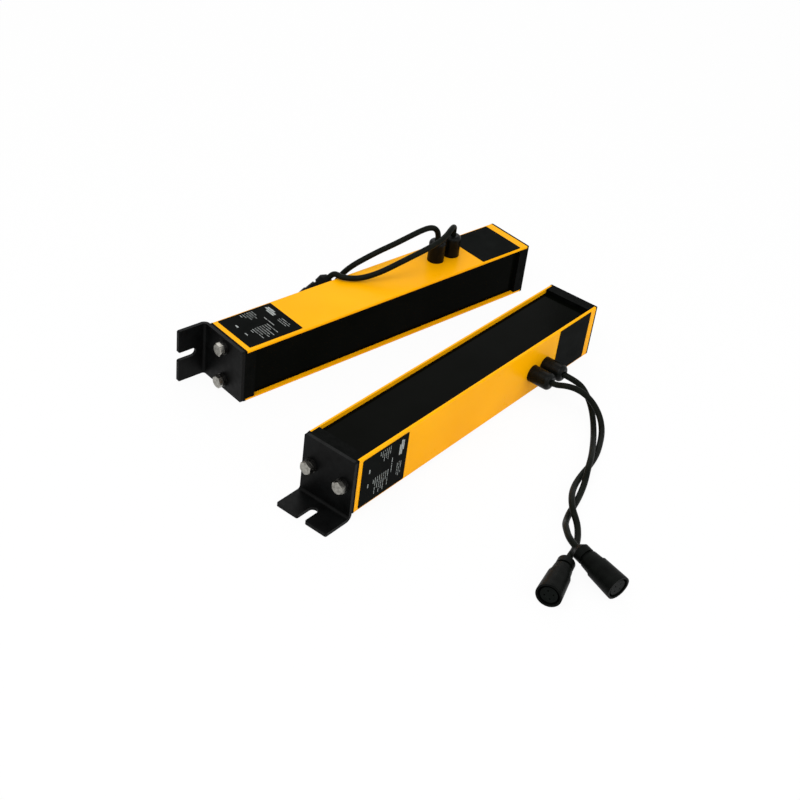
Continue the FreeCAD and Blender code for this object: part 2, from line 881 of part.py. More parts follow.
def emitter_place():
    # It rests on its far edge and on the round of the bracket's bend.
    cap = size("gasket_thick") + size("plate_thick")
    bend = size("bend_inner") + size("bracket_thick")
    drop = size("foot_gap") + size("bracket_thick")
    far = size("bar_length") + cap
    tilt = math.asin(drop / (far + cap + bend))
    turn = Rotation(Z_AXIS, EMITTER_TURN)
    middle = turn.multVec(Vector(0, size("bar_side") / 2, 0))
    corner = Vector(EMITTER_CORNER[0], EMITTER_CORNER[1], far * math.sin(tilt))
    return Placement(corner + middle, turn.multiply(Rotation(Y_AXIS, math.degrees(tilt))))


# Lead routes, chosen by hand: points after the straight run out of the gland, ending on
# the plug's rear face. The last two points set the line that the plug lies on.

STRAIGHT_OUT = {
    "emitter_cord_1": 5.6,
    "emitter_cord_2": 9.0,
    "receiver_cord_1": 8.0,
    "receiver_cord_2": 7.0,
}
ROUTES = {
    "emitter_cord_1": [
        (216.6, -207.6, 26.4),
        (221.4, -215.4, 26.2),
        (226.2, -223.4, 22.6),
        (229.4, -231.6, 16.2),
        (228.8, -240.8, 8.8),
        (222.5, -249.8, 3.6),
        (211.0, -258.8, 2.8),
        (195.4, -268.8, 2.8),
        (179.0, -275.8, 2.8),
        (162.4, -280.9, 3.2),
        (146.5, -288.2, 5.4),
        (131.3, -298.2, 9.9),
        (120.0, -309.6, 9.9),
        (115.6, -320.2, 5.2),
        (108.4, -328.4, 2.8),
        (99.8, -335.0, 2.8),
        (91.8, -339.5, 3.4),
        (81.0, -344.5, 7.95),
        (76.3, -346.7, 8.18),
    ],
    "emitter_cord_2": [
        (238.6, -207.6, 18.0),
        (237.6, -217.2, 12.6),
        (233.4, -226.7, 7.6),
        (225.4, -237.0, 4.0),
        (213.3, -248.6, 3.4),
        (199.4, -260.0, 6.4),
        (181.6, -273.6, 9.9),
        (167.2, -282.9, 9.9),
        (157.6, -289.7, 4.6),
        (146.0, -296.0, 2.8),
        (133.3, -302.2, 2.8),
        (121.4, -306.9, 2.8),
        (109.8, -313.6, 4.2),
        (99.6, -321.4, 10.6),
        (87.7, -336.8, 13.35),
        (86.9, -345.0, 12.9),
    ],
    "receiver_cord_1": [
        (227.3, -21.6, 83.9),
        (220.8, -20.0, 85.6),
        (212.8, -17.4, 83.2),
        (201.8, -15.0, 79.4),
        (188.8, -10.8, 73.6),
        (175.0, -7.2, 69.0),
        (162.0, -3.0, 63.0),
        (151.6, 1.8, 56.2),
        (145.4, 7.0, 47.2),
        (142.6, 11.4, 36.4),
        (143.0, 14.8, 26.4),
        (145.4, 17.6, 17.6),
        (150.6, 20.0, 11.0),
        (158.0, 21.2, 8.2),
        (163.9, 21.8, 8.45),
    ],
    "receiver_cord_2": [
        (248.0, -24.8, 81.4),
        (240.6, -28.4, 82.4),
        (230.6, -32.6, 79.8),
        (218.0, -34.8, 77.6),
        (204.0, -34.8, 75.0),
        (189.6, -33.0, 71.4),
        (175.6, -29.4, 66.0),
        (163.2, -25.0, 60.4),
        (153.2, -19.4, 55.8),
        (145.6, -14.2, 53.4),
        (139.0, -9.6, 53.4),
        (134.0, -4.2, 53.5),
        (133.7, 1.4, 53.6),
        (132.9, 6.2, 51.1),
        (130.4, 6.9, 48.6),
    ],
}


def lead_start(name, place):
    """Where a lead starts in its gland, and the way it points there, in the part's frame."""
    side = -1 if name.startswith("emitter") else 1
    number = int(name[-1]) - 1
    seal_top = (
        size("gland_collar") + size("gland_split") + size("gland_nut_long")
        - size("gland_lip") - size("gland_split") - size("seal_socket")
    )
    start = Vector(
        size("bar_length") - size("gland_from_far") + number * size("gland_pitch"),
        side * (size("bar_side") / 2 + seal_top),
        size("gland_rise"),
    )
    return place.multVec(start), place.Rotation.multVec(Vector(0, side, 0))


def lead_points(name, place):
    """The route from inside the gland, straight out of it, to the end inside the plug nut."""
    start, out = lead_start(name, place)
    points = [start, start + out * STRAIGHT_OUT[name]] + [Vector(*point) for point in ROUTES[name]]
    onward = (points[-1] - points[-2]).normalize()
    points[-1] = points[-1] + onward * size("plug_socket")
    return points


def lead(name, place):
    """A tube of straight runs joined by tangent arcs."""
    points = lead_points(name, place)
    radius = size("cord_size") / 2
    edges, bends, start = [], [], points[0]
    for before, corner, after in zip(points, points[1:], points[2:]):
        back, onward = before - corner, after - corner
        half_turn = (math.pi - back.getAngle(onward)) / 2
        shorter = min(back.Length, onward.Length)
        bend = 0.45 * shorter / math.tan(half_turn)
        bends.append(bend)
        first = corner + back.normalize() * (0.45 * shorter)
        last = corner + onward.normalize() * (0.45 * shorter)
        inward = (back + onward).normalize()
        middle = corner + inward * (bend / math.cos(half_turn) - bend)
        edges.append(Part.LineSegment(start, first).toShape())
        edges.append(Part.Arc(first, middle, last).toShape())
        start = last
    edges.append(Part.LineSegment(start, points[-1]).toShape())
    path = Part.Wire(edges)
    ring = Part.Wire(Part.makeCircle(radius, points[0], points[1] - points[0]))
    tube = path.makePipeShell([ring], True, False)
    expected = math.pi * radius**2 * path.Length
    print(f"{name}: length {path.Length:.1f}, tightest bend {min(bends):.1f}")
    if not tube.isValid() or abs(tube.Volume / expected - 1) > 0.002:
        raise RuntimeError(f"{name}: bad tube, volume {tube.Volume:.1f} against {expected:.1f}")
    feature = doc.addObject("Part::Feature", name)
    feature.Shape = tube
    return feature


def plug_place(name, place):
    points = lead_points(name, place)
    onward = (points[-1] - points[-2]).normalize()
    rear = points[-1] - onward * size("plug_socket")
    return Placement(rear, Rotation(Z_AXIS, onward))


# The whole pair.

made = {}
cord_nodes = set()


def keep(label_text, thing, place=None):
    thing.Label = label_text
    if place is not None:
        thing.Placement = place.multiply(thing.Placement)
    made[label_text] = thing


def build_bar(unit, side, place):
    def add(piece, thing):
        moved = doc.addObject("Part::Compound", f"{unit}_{piece}_placed")
        moved.Links = [thing]
        keep(f"{unit}_{piece}", moved, place)

    add("housing", housing(unit, side))
    add("window", window(f"{unit}_window_panel"))
    add("window_seal", window_seal(f"{unit}_seal_frame"))
    add("near_cap", bored_cap(f"{unit}_near", unit, False))
    add("far_cap", bored_cap(f"{unit}_far", unit, True))
    add("end_gaskets", end_gaskets(f"{unit}_gaskets"))
    add("cap_screws", group(f"{unit}_cap_screw_set", cap_screws(f"{unit}_cap_screw", "0 * screw_gap")))
    add("bracket", bracket(f"{unit}_foot_bracket"))
    add("bracket_bolts", bracket_bolts(f"{unit}_bolts"))
    add("bolt_washers", bolt_washers(f"{unit}_washers"))
    add("name_label", label(f"{unit}_name_plate", side, "name_label_from_end", "name"))
    far_start = "(bar_length - far_label_from_end - far_label_long)"
    add("far_label", label(f"{unit}_far_plate", side, far_start, "far"))
    add("gland_bodies", gland_bodies(f"{unit}_gland_body", side))
    add("gland_nuts", gland_nuts(f"{unit}_gland_nut", side))
    add("gland_seals", gland_seals(f"{unit}_gland_seal", side))
    add("gland_locknuts", gland_locknuts(f"{unit}_locknut", side))
    add("lens_carrier", lens_carrier(f"{unit}_carrier"))
    add("lenses", lenses(f"{unit}_lens"))
    add("optic_board", optic_board(f"{unit}_optic"))
    add("diodes", diodes(f"{unit}_diode"))
    add("control_board", control_board(f"{unit}_control"))
    add("terminal_block", terminal_block(f"{unit}_terminal"))


def build_leads(unit, place):
    nuts, inserts = [], []
    for number in (1, 2):
        cord_name = f"{unit}_cord_{number}"
        keep(cord_name, lead(cord_name, place))
        lie = plug_place(cord_name, place)
        keep(f"{unit}_plug_shell_{number}", plug_shell(f"{unit}_shell_{number}"), lie)
        keep(f"{unit}_plug_ring_{number}", plug_ring(f"{unit}_ring_{number}"), lie)
        for pieces, piece in ((nuts, plug_nut), (inserts, plug_insert)):
            one = piece(f"{unit}_{piece.__name__}_{number}")
            one.Placement = lie
            pieces.append(one)
    keep(f"{unit}_plug_nuts", group(f"{unit}_nut_pair", nuts))
    keep(f"{unit}_plug_inserts", group(f"{unit}_insert_pair", inserts))
    for piece in ("cord_1", "cord_2", "plug_shell_1", "plug_shell_2", "plug_ring_1", "plug_ring_2"):
        cord_nodes.add(f"{unit}_{piece}")
    cord_nodes.update((f"{unit}_plug_nuts", f"{unit}_plug_inserts"))


for unit, side, place in (("emitter", -1, emitter_place()), ("receiver", 1, receiver_place())):
    build_bar(unit, side, place)
    build_leads(unit, place)
doc.recompute()

# The origin is under the middle of the two bars, on the table.
span = FreeCAD.BoundBox()
for node, thing in made.items():
    if node not in cord_nodes:
        span.add(thing.Shape.optimalBoundingBox(False, False))
middle = Vector((span.XMin + span.XMax) / 2, (span.YMin + span.YMax) / 2, span.ZMin)
print(f"frame moved by {-middle}")
for thing in made.values():
    thing.Placement = Placement(-middle, Rotation()).multiply(thing.Placement)
doc.recompute()

bad = [o.Name for o in doc.Objects if "Invalid" in o.State or "Error" in o.State]
if bad:
    raise RuntimeError(f"failed objects: {bad}")
for node, thing in made.items():
    shape = thing.Shape
    if shape.isNull() or not shape.isValid() or not shape.Solids:
        raise RuntimeError(f"{node}: bad shape")
for node, thing in made.items():
    thing.Shape.exportStep(f"parts/{node}.step")
print(f"{len(made)} nodes, {sum(len(t.Shape.Solids) for t in made.values())} solids")
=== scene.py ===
import json
import math

import bpy
import numpy as np
from mathutils import Matrix, Vector


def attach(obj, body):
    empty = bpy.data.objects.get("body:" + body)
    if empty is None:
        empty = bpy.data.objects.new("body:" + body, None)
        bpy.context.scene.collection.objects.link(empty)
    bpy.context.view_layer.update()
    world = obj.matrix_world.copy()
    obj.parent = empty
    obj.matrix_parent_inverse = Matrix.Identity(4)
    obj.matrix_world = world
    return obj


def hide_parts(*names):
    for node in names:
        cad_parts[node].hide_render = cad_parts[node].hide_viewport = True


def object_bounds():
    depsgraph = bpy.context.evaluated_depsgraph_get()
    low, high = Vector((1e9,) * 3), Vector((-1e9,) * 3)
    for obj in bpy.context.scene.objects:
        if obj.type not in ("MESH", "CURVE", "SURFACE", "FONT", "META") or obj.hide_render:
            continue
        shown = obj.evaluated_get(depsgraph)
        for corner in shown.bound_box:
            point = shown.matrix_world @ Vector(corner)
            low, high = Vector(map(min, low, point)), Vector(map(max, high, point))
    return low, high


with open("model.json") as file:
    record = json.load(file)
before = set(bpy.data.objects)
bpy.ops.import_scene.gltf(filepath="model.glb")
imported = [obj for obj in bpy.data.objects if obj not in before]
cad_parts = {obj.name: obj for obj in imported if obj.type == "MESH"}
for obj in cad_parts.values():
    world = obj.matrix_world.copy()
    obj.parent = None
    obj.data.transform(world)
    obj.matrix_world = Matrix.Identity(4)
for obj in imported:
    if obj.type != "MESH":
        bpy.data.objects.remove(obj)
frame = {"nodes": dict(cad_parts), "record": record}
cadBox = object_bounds()
cadNodes = frame["nodes"]
print("frame:", len(cadNodes), "pieces from the CAD")

millimetre = 0.001

# the lens stands in front of the bracket ends, about 36 degrees above the table
cameraPlace = {
    "eye": (-0.70857, -0.68626, 0.69466),
    "forward": (0.57769, 0.5681, -0.58612),
    "up": (0.32454, 0.49901, 0.80353),
    "lens": 63.0,
    "sensor": 36.0,
    "nearClip": 0.01,
    "farClip": 20.0,
}


def placeCamera(place):
    # columns of the matrix: right, up and backwards, so that the lens looks along forward
    forward = Vector(place["forward"]).normalized()
    right = forward.cross(Vector(place["up"])).normalized()
    up = right.cross(forward)
    turn = Matrix((right, up, -forward)).transposed().to_4x4()
    data = bpy.data.cameras.new("viewCamera")
    data.lens = place["lens"]
    data.sensor_width = place["sensor"]
    data.clip_start, data.clip_end = place["nearClip"], place["farClip"]
    camera = bpy.data.objects.new("viewCamera", data)
    camera.matrix_world = Matrix.Translation(place["eye"]) @ turn
    bpy.context.collection.objects.link(camera)
    bpy.context.scene.camera = camera


placeCamera(cameraPlace)
print("camera placed")


# leads: thin jacketed cables from the glands to the plugs, in metres
leadSettings = {
    "diameter": 0.0052,
    "sides": 8,
    "stepsPerRun": 10,
    "lengths": {
        "emitter_cord_1": 0.252,
        "emitter_cord_2": 0.240,
        "receiver_cord_1": 0.170,
        "receiver_cord_2": 0.158,
    },
    "routes": {
        "emitter_cord_1": [
            (0.07806, -0.08694, 0.02356), (0.07900, -0.09247, 0.02356),
            (0.08250, -0.10061, 0.02640), (0.08730, -0.10841, 0.02620),
            (0.09210, -0.11641, 0.02260), (0.09530, -0.12461, 0.01620),
            (0.09470, -0.13381, 0.00880), (0.08840, -0.14281, 0.00360),
            (0.07690, -0.15181, 0.00280), (0.06130, -0.16181, 0.00280),
            (0.04490, -0.16881, 0.00280), (0.02830, -0.17391, 0.00320),
            (0.01240, -0.18121, 0.00540), (-0.00280, -0.19121, 0.00990),
            (-0.01410, -0.20261, 0.00990), (-0.01850, -0.21321, 0.00520),
            (-0.02570, -0.22141, 0.00280), (-0.03430, -0.22801, 0.00280),
            (-0.04230, -0.23251, 0.00340), (-0.05310, -0.23751, 0.00795),
            (-0.05961, -0.24056, 0.00827),
        ],
        "emitter_cord_2": [
            (0.09679, -0.08376, 0.02325), (0.09830, -0.09264, 0.02325),
            (0.10450, -0.10061, 0.01800), (0.10350, -0.11021, 0.01260),
            (0.09930, -0.11971, 0.00760), (0.09130, -0.13001, 0.00400),
            (0.07920, -0.14161, 0.00340), (0.06530, -0.15301, 0.00640),
            (0.04750, -0.16661, 0.00990), (0.03310, -0.17591, 0.00990),
            (0.02350, -0.18271, 0.00460), (0.01190, -0.18901, 0.00280),
            (-0.00080, -0.19521, 0.00280), (-0.01270, -0.19991, 0.00280),
            (-0.02430, -0.20661, 0.00420), (-0.03450, -0.21441, 0.01060),
            (-0.04640, -0.22981, 0.01335), (-0.04740, -0.24000, 0.01279),
        ],
        "receiver_cord_1": [
            (0.09790, 0.08499, 0.06860), (0.09790, 0.08499, 0.07660),
            (0.09320, 0.08539, 0.08390), (0.08670, 0.08699, 0.08560),
            (0.07870, 0.08959, 0.08320), (0.06770, 0.09199, 0.07940),
            (0.05470, 0.09619, 0.07360), (0.04090, 0.09979, 0.06900),
            (0.02790, 0.10399, 0.06300), (0.01750, 0.10879, 0.05620),
            (0.01130, 0.11399, 0.04720), (0.00850, 0.11839, 0.03640),
            (0.00890, 0.12179, 0.02640), (0.01130, 0.12459, 0.01760),
            (0.01650, 0.12699, 0.01100), (0.02390, 0.12819, 0.00820),
            (0.03178, 0.12899, 0.00853),
        ],
        "receiver_cord_2": [
            (0.11690, 0.08499, 0.06860), (0.11690, 0.08499, 0.07560),
            (0.11390, 0.08219, 0.08140), (0.10650, 0.07859, 0.08240),
            (0.09650, 0.07439, 0.07980), (0.08390, 0.07219, 0.07760),
            (0.06990, 0.07219, 0.07500), (0.05550, 0.07399, 0.07140),
            (0.04150, 0.07759, 0.06600), (0.02910, 0.08199, 0.06040),
            (0.01910, 0.08759, 0.05580), (0.01150, 0.09279, 0.05340),
            (0.00490, 0.09739, 0.05340), (-0.00010, 0.10279, 0.05350),
            (-0.00040, 0.10839, 0.05360), (-0.00120, 0.11319, 0.05110),
            (-0.00509, 0.11428, 0.04721),
        ],
    },
}


def layLead(name, points, settings):
    # a quadratic B-spline pulled along by the route's points, with a circle as its section
    line = bpy.data.curves.new(name + "_lead", "CURVE")
    line.dimensions = "3D"
    line.bevel_depth = 1.0  # each point's radius is then the jacket's radius
    line.bevel_resolution = settings["sides"]
    line.resolution_u = settings["stepsPerRun"]
    line.use_fill_caps = True
    spline = line.splines.new("NURBS")
    spline.points.add(len(points) - 1)
    spline.points.foreach_set("co", np.c_[points, np.ones(len(points))].ravel())
    spline.points.foreach_set("radius", np.full(len(points), settings["diameter"] / 2))
    spline.order_u = 3
    spline.use_endpoint_u = True
    lead = bpy.data.objects.new(name + "_lead", line)
    bpy.context.collection.objects.link(lead)
    return lead


leads = {}
for name, points in leadSettings["routes"].items():
    unit, number = name.split("_cord_")
    lead = layLead(name, points, leadSettings)
    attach(lead, "bars")
    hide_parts(name)
    onLead = [cadNodes[f"{unit}_plug_{piece}_{number}"] for piece in ("shell", "ring")]
    if number == "1":  # nuts and inserts are one node for both plugs of a bar
        onLead += [cadNodes[f"{unit}_plug_{piece}"] for piece in ("nuts", "inserts")]
    leads[name] = lead
print("leads laid:", len(leads))


def linear(r, g, b):
    # screen colour, 0 to 255, as scene light: a power of 2.4 above the short straight start
    shares = np.array([r, g, b]) / 255
    low = shares / 12.92
    high = ((shares + 0.055) / 1.055) ** 2.4
    return tuple(np.where(shares <= 0.04045, low, high)) + (1.0,)


# shared by every noise field: its own roughness, and how an offset is dealt to x, y and z;
# glossSize is the size of a moulded piece's gloss spots against its tone spots
noiseSettings = {"roughness": 0.55, "offsetShares": (1.0, 0.7, 0.3), "glossSize": 0.4}


class Finish:
    # a small hand for wiring one material's nodes

    def __init__(self, name):
        self.material = bpy.data.materials.new(name)
        self.material.use_nodes = True
        self.tree = self.material.node_tree
        self.shader = self.tree.nodes["Principled BSDF"]
        self.place = self.node("ShaderNodeTexCoord").outputs["Object"]

    def node(self, kind, **values):
        made = self.tree.nodes.new(kind)
        for key, value in values.items():
            if key in made.inputs:
                made.inputs[key].default_value = value
            else:
                setattr(made, key, value)
        return made

    def link(self, source, target):
        self.tree.links.new(source, target)

    def set(self, socket, value):
        self.shader.inputs[socket].default_value = value

    def noise(self, size, detail, offset=0.0, stretch=(1, 1, 1)):
        # soft random field whose spots are about size metres across
        mapping = self.node("ShaderNodeMapping")
        mapping.inputs["Scale"].default_value = stretch
        shift = [offset * share for share in noiseSettings["offsetShares"]]
        mapping.inputs["Location"].default_value = shift
        self.link(self.place, mapping.inputs["Vector"])
        rough = noiseSettings["roughness"]
        field = self.node("ShaderNodeTexNoise", Scale=1 / size, Detail=detail, Roughness=rough)
        self.link(mapping.outputs["Vector"], field.inputs["Vector"])
        return field.outputs["Fac"]

    def span(self, field, low, high, start=0.3, stop=0.7):
        # the field from start to stop becomes a number from low to high
        scaled = self.node("ShaderNodeMapRange")
        ends = {"From Min": start, "From Max": stop, "To Min": low, "To Max": high}
        for key, value in ends.items():
            scaled.inputs[key].default_value = value
        self.link(field, scaled.inputs["Value"])
        return scaled.outputs["Result"]

    def blend(self, share, first, second):
        # first where the share is 0, second where it is 1; each a colour or a node's output
        mixed = self.node("ShaderNodeMix", data_type="RGBA")
        self.link(share, mixed.inputs[0])
        for socket, value in ((mixed.inputs[6], first), (mixed.inputs[7], second)):
            if isinstance(value, tuple):
                socket.default_value = value
            else:
                self.link(value, socket)
        return mixed.outputs[2]

    def bump(self, field, depth):
        raised = self.node("ShaderNodeBump", Distance=depth, Strength=1.0)
        self.link(field, raised.inputs["Height"])
        return raised.outputs["Normal"]

    def finish(self, colour, rough, normal=None):
        self.link(colour, self.shader.inputs["Base Color"])
        self.link(rough, self.shader.inputs["Roughness"])
        if normal is not None:
            self.link(normal, self.shader.inputs["Normal"])
        return self.material


def moulded(name, settings):
    # plastic, rubber or painted sheet: cloudy tone, uneven gloss and a fine grain
    made = Finish(name)
    cloud = made.span(made.noise(settings["cloud"], detail=4.0, offset=1.3), 0.0, 1.0)
    colour = made.blend(cloud, linear(*settings["dark"]), linear(*settings["light"]))
    glossSize = settings["cloud"] * noiseSettings["glossSize"]
    gloss = made.noise(glossSize, detail=5.0, offset=4.1)
    rough = made.span(gloss, *settings["rough"])
    grain = made.noise(settings["grain"], detail=2.0, offset=7.7)
    normal = made.bump(grain, settings["depth"])
    made.set("Specular IOR Level", settings["shine"])
    return made.finish(colour, rough, normal)


# one row for each moulded, painted or rubber finish: colours on the 0 to 255 scale, the
# spots' size (cloud), the grain's size and depth in metres, roughness range, reflection
finishSettings = {
    "window_panel": {
        "dark": (3, 4, 2), "light": (7, 8, 6), "cloud": 0.05,
        "grain": 0.004, "depth": 0.00002, "rough": (0.1, 0.16), "shine": 0.006,
    },
    "seal_rubber": {
        "dark": (8, 8, 7), "light": (18, 18, 16), "cloud": 0.004,
        "grain": 0.0005, "depth": 0.00004, "rough": (0.62, 0.8), "shine": 0.05,
    },
    "cap_plastic": {
        "dark": (3, 4, 3), "light": (8, 9, 8), "cloud": 0.008,
        "grain": 0.0006, "depth": 0.00005, "rough": (0.42, 0.58), "shine": 0.012,
    },
    "black_steel": {
        "dark": (4, 4, 4), "light": (10, 11, 11), "cloud": 0.012,
        "grain": 0.0009, "depth": 0.00005, "rough": (0.38, 0.52), "shine": 0.06,
    },
    "label_film": {
        "dark": (7, 9, 8), "light": (14, 16, 15), "cloud": 0.02,
        "grain": 0.0016, "depth": 0.00001, "rough": (0.3, 0.42), "shine": 0.005,
    },
    "gland_nylon": {
        "dark": (4, 5, 4), "light": (11, 13, 11), "cloud": 0.005,
        "grain": 0.0005, "depth": 0.00003, "rough": (0.28, 0.4), "shine": 0.08,
    },
    "carrier_plastic": {
        "dark": (14, 14, 14), "light": (26, 26, 26), "cloud": 0.01,
        "grain": 0.0007, "depth": 0.00004, "rough": (0.45, 0.6), "shine": 0.2,
    },
    "board_laminate": {
        "dark": (10, 62, 34), "light": (22, 92, 50), "cloud": 0.006,
        "grain": 0.0008, "depth": 0.00003, "rough": (0.3, 0.45), "shine": 0.3,
    },
    "diode_body": {
        "dark": (32, 26, 40), "light": (58, 50, 70), "cloud": 0.003,
        "grain": 0.001, "depth": 0.00001, "rough": (0.12, 0.2), "shine": 0.4,
    },
    "terminal_plastic": {
        "dark": (22, 96, 52), "light": (36, 122, 70), "cloud": 0.005,
        "grain": 0.0006, "depth": 0.00004, "rough": (0.4, 0.55), "shine": 0.3,
    },
    "cable_jacket": {
        "dark": (8, 10, 7), "light": (17, 20, 15), "cloud": 0.006,
        "grain": 0.0006, "depth": 0.00004, "rough": (0.34, 0.48), "shine": 0.04,
    },
    "plug_plastic": {
        "dark": (5, 6, 5), "light": (12, 14, 12), "cloud": 0.006,
        "grain": 0.0005, "depth": 0.00004, "rough": (0.34, 0.48), "shine": 0.035,
    },
    "insert_plastic": {
        "dark": (8, 10, 9), "light": (15, 18, 16), "cloud": 0.004,
        "grain": 0.0006, "depth": 0.00002, "rough": (0.3, 0.4), "shine": 0.03,
    },
}


paintSettings = {
    "deep": (246, 168, 0), "bright": (254, 178, 2), "drift": 0.09,
    "thin": (244, 178, 10), "patch": 0.012, "patchShare": 0.25,
    "cloud": 0.02, "rough": (0.26, 0.38), "shine": 0.03,
    "peel": 0.0022, "depth": 0.00003,
}


def yellowPaint(settings):
    # gloss enamel on an extrusion: tone drifts along the bar, thinner patches, orange peel
    made = Finish("yellowPaint")
    drift = made.span(made.noise(settings["drift"], detail=2.0), 0.0, 1.0)
    body = made.blend(drift, linear(*settings["deep"]), linear(*settings["bright"]))
    patches = made.noise(settings["patch"], detail=4.0, offset=2.2)
    share = made.span(patches, 0.0, settings["patchShare"], start=0.55, stop=0.75)
    colour = made.blend(share, body, linear(*settings["thin"]))
    gloss = made.noise(settings["cloud"], detail=5.0, offset=5.0)
    rough = made.span(gloss, *settings["rough"])
    peel = made.noise(settings["peel"], detail=1.5, offset=9.0)
    normal = made.bump(peel, settings["depth"])
    made.set("Specular IOR Level", settings["shine"])
    return made.finish(colour, rough, normal)


metalSettings = {
    "stainless": {
        "dull": (118, 116, 110), "bright": (166, 164, 157), "rough": (0.22, 0.4),
        "stretch": (1, 6, 6),
    },
    "small_steel": {
        "dull": (104, 104, 102), "bright": (146, 146, 142), "rough": (0.3, 0.45),
        "stretch": (1, 5, 5),
    },
    "dark_washer": {
        "dull": (34, 34, 34), "bright": (66, 65, 63), "rough": (0.32, 0.5),
        "stretch": (1, 4, 4),
    },
}
metalGrain = {"patch": 0.0022, "mark": 0.0003, "depth": 0.00002}


def bareMetal(name, settings, grain):
    # machined metal: stained patches, and fine turning marks as a stretched field
    made = Finish(name)
    patch = made.span(made.noise(grain["patch"], detail=5.0), 0.0, 1.0)
    colour = made.blend(patch, linear(*settings["dull"]), linear(*settings["bright"]))
    marks = made.noise(grain["mark"], detail=3.0, offset=3.0, stretch=settings["stretch"])
    made.set("Metallic", 1.0)
    return made.finish(
        colour, made.span(marks, *settings["rough"]), made.bump(marks, grain["depth"])
    )


lensSettings = {
    "tint": (226, 231, 236), "clear": (240, 244, 248), "flow": 0.003,
    "rough": (0.02, 0.07), "passes": 0.85, "index": 1.49,
}


def lensClear(settings):
    # clear moulded lens: a faint flow pattern in its tint and its gloss
    made = Finish("lensClear")
    flow = made.noise(settings["flow"], detail=2.0)
    share = made.span(flow, 0.0, 1.0)
    colour = made.blend(share, linear(*settings["tint"]), linear(*settings["clear"]))
    made.set("Transmission Weight", settings["passes"])
    made.set("IOR", settings["index"])
    return made.finish(colour, made.span(flow, *settings["rough"]))


finishes = {slot: moulded(slot, row) for slot, row in finishSettings.items()}
finishes["yellow_paint"] = yellowPaint(paintSettings)
for slot, row in metalSettings.items():
    finishes[slot] = bareMetal(slot, row, metalGrain)
finishes["lens_clear"] = lensClear(lensSettings)

for part in frame["record"]["subparts"]:
    slots = cadNodes[part["node"]].data.materials
    slots.clear()
    slots.append(finishes[part["material_slot"]])
for lead in leads.values():
    lead.data.materials.append(finishes["cable_jacket"])
print("finishes given:", len(finishes))


# where each bar's near end stands (metres), its angles (degrees), and the way its label looks
barFrames = {
    "receiver": {
        "corner": (-0.134105, 0.106988, 0.025),
        "turn": 0.0, "tilt": 0.0, "roll": 90.0, "side": 1,
    },
    "emitter": {
        "corner": (-0.158291, -0.082865, 0.005377),
        "turn": 9.64, "tilt": 0.942, "roll": 0.0, "side": -1,
    },
}

# label print: plain light bars where a maker's text would stand, in millimetres
labelSettings = {
    "start": 4.5,  # the film's near edge, from the bar's near end
    "bottom": 1.5,  # the film's lower edge, from the bar's back
    "long": 54.5,
    "high": 45.5,
    "face": 25.3,  # the film's surface, from the bar's middle
    "ink": 0.03,
    "sunk": 0.01,
    "wordGap": 0.6,
    "shortest": 0.5,
    "wordEnds": (0.15, 0.85),  # between which shares of a row its words are cut
    "drawing": 7,  # which draw of word lengths is taken
    # place along the bar, start and end across it (shares of the label), thickness, words
    "rows": [
        (0.895, 0.10, 0.30, 1.6, 1), (0.860, 0.08, 0.38, 1.6, 1), (0.825, 0.16, 0.38, 1.4, 1),
        (0.885, 0.54, 0.80, 0.5, 4), (0.845, 0.52, 0.84, 0.5, 5), (0.805, 0.54, 0.80, 0.5, 4),
        (0.670, 0.34, 0.66, 0.6, 5),
        (0.600, 0.05, 0.22, 0.5, 3), (0.557, 0.05, 0.31, 0.5, 4), (0.514, 0.05, 0.26, 0.5, 3),
        (0.471, 0.05, 0.30, 0.5, 4), (0.428, 0.05, 0.20, 0.5, 2), (0.385, 0.05, 0.13, 0.5, 1),
        (0.600, 0.54, 0.88, 0.55, 5), (0.554, 0.54, 0.74, 0.55, 3), (0.508, 0.54, 0.92, 0.55, 6),
        (0.462, 0.54, 0.86, 0.55, 5), (0.416, 0.54, 0.92, 0.55, 6), (0.370, 0.54, 0.80, 0.55, 4),
        (0.324, 0.54, 0.90, 0.55, 5), (0.282, 0.54, 0.66, 0.55, 2),
        (0.170, 0.28, 0.36, 1.4, 1), (0.165, 0.58, 0.66, 1.0, 1),
    ],
}


def barPlace(unit):
    # from a bar's own millimetres to the row frame in metres
    place = barFrames[unit]
    turn = Matrix.Rotation(math.radians(place["turn"]), 4, "Z")
    tilt = Matrix.Rotation(math.radians(place["tilt"]), 4, "Y")
    roll = Matrix.Rotation(math.radians(place["roll"]), 4, "X")
    return Matrix.Translation(place["corner"]) @ turn @ tilt @ roll @ Matrix.Scale(millimetre, 4)


def labelBars(settings):
    # each row is cut into words of uneven length: (low, high) along and (low, high) across
    chance = np.random.default_rng(settings["drawing"])
    bars = []
    for along, first, last, thick, words in settings["rows"]:
        centre = along * settings["long"]
        ends = []
        if words > 1:
            ends = np.sort(chance.uniform(*settings["wordEnds"], words - 1))
        cuts = (np.r_[0.0, ends, 1.0] * (last - first) + first) * settings["high"]
        gap = settings["wordGap"] if words > 1 else 0.0
        for low, high in zip(cuts, cuts[1:] - gap):
            if high - low > settings["shortest"]:
                bars.append((centre - thick / 2, centre + thick / 2, low, high))
    return np.array(bars)


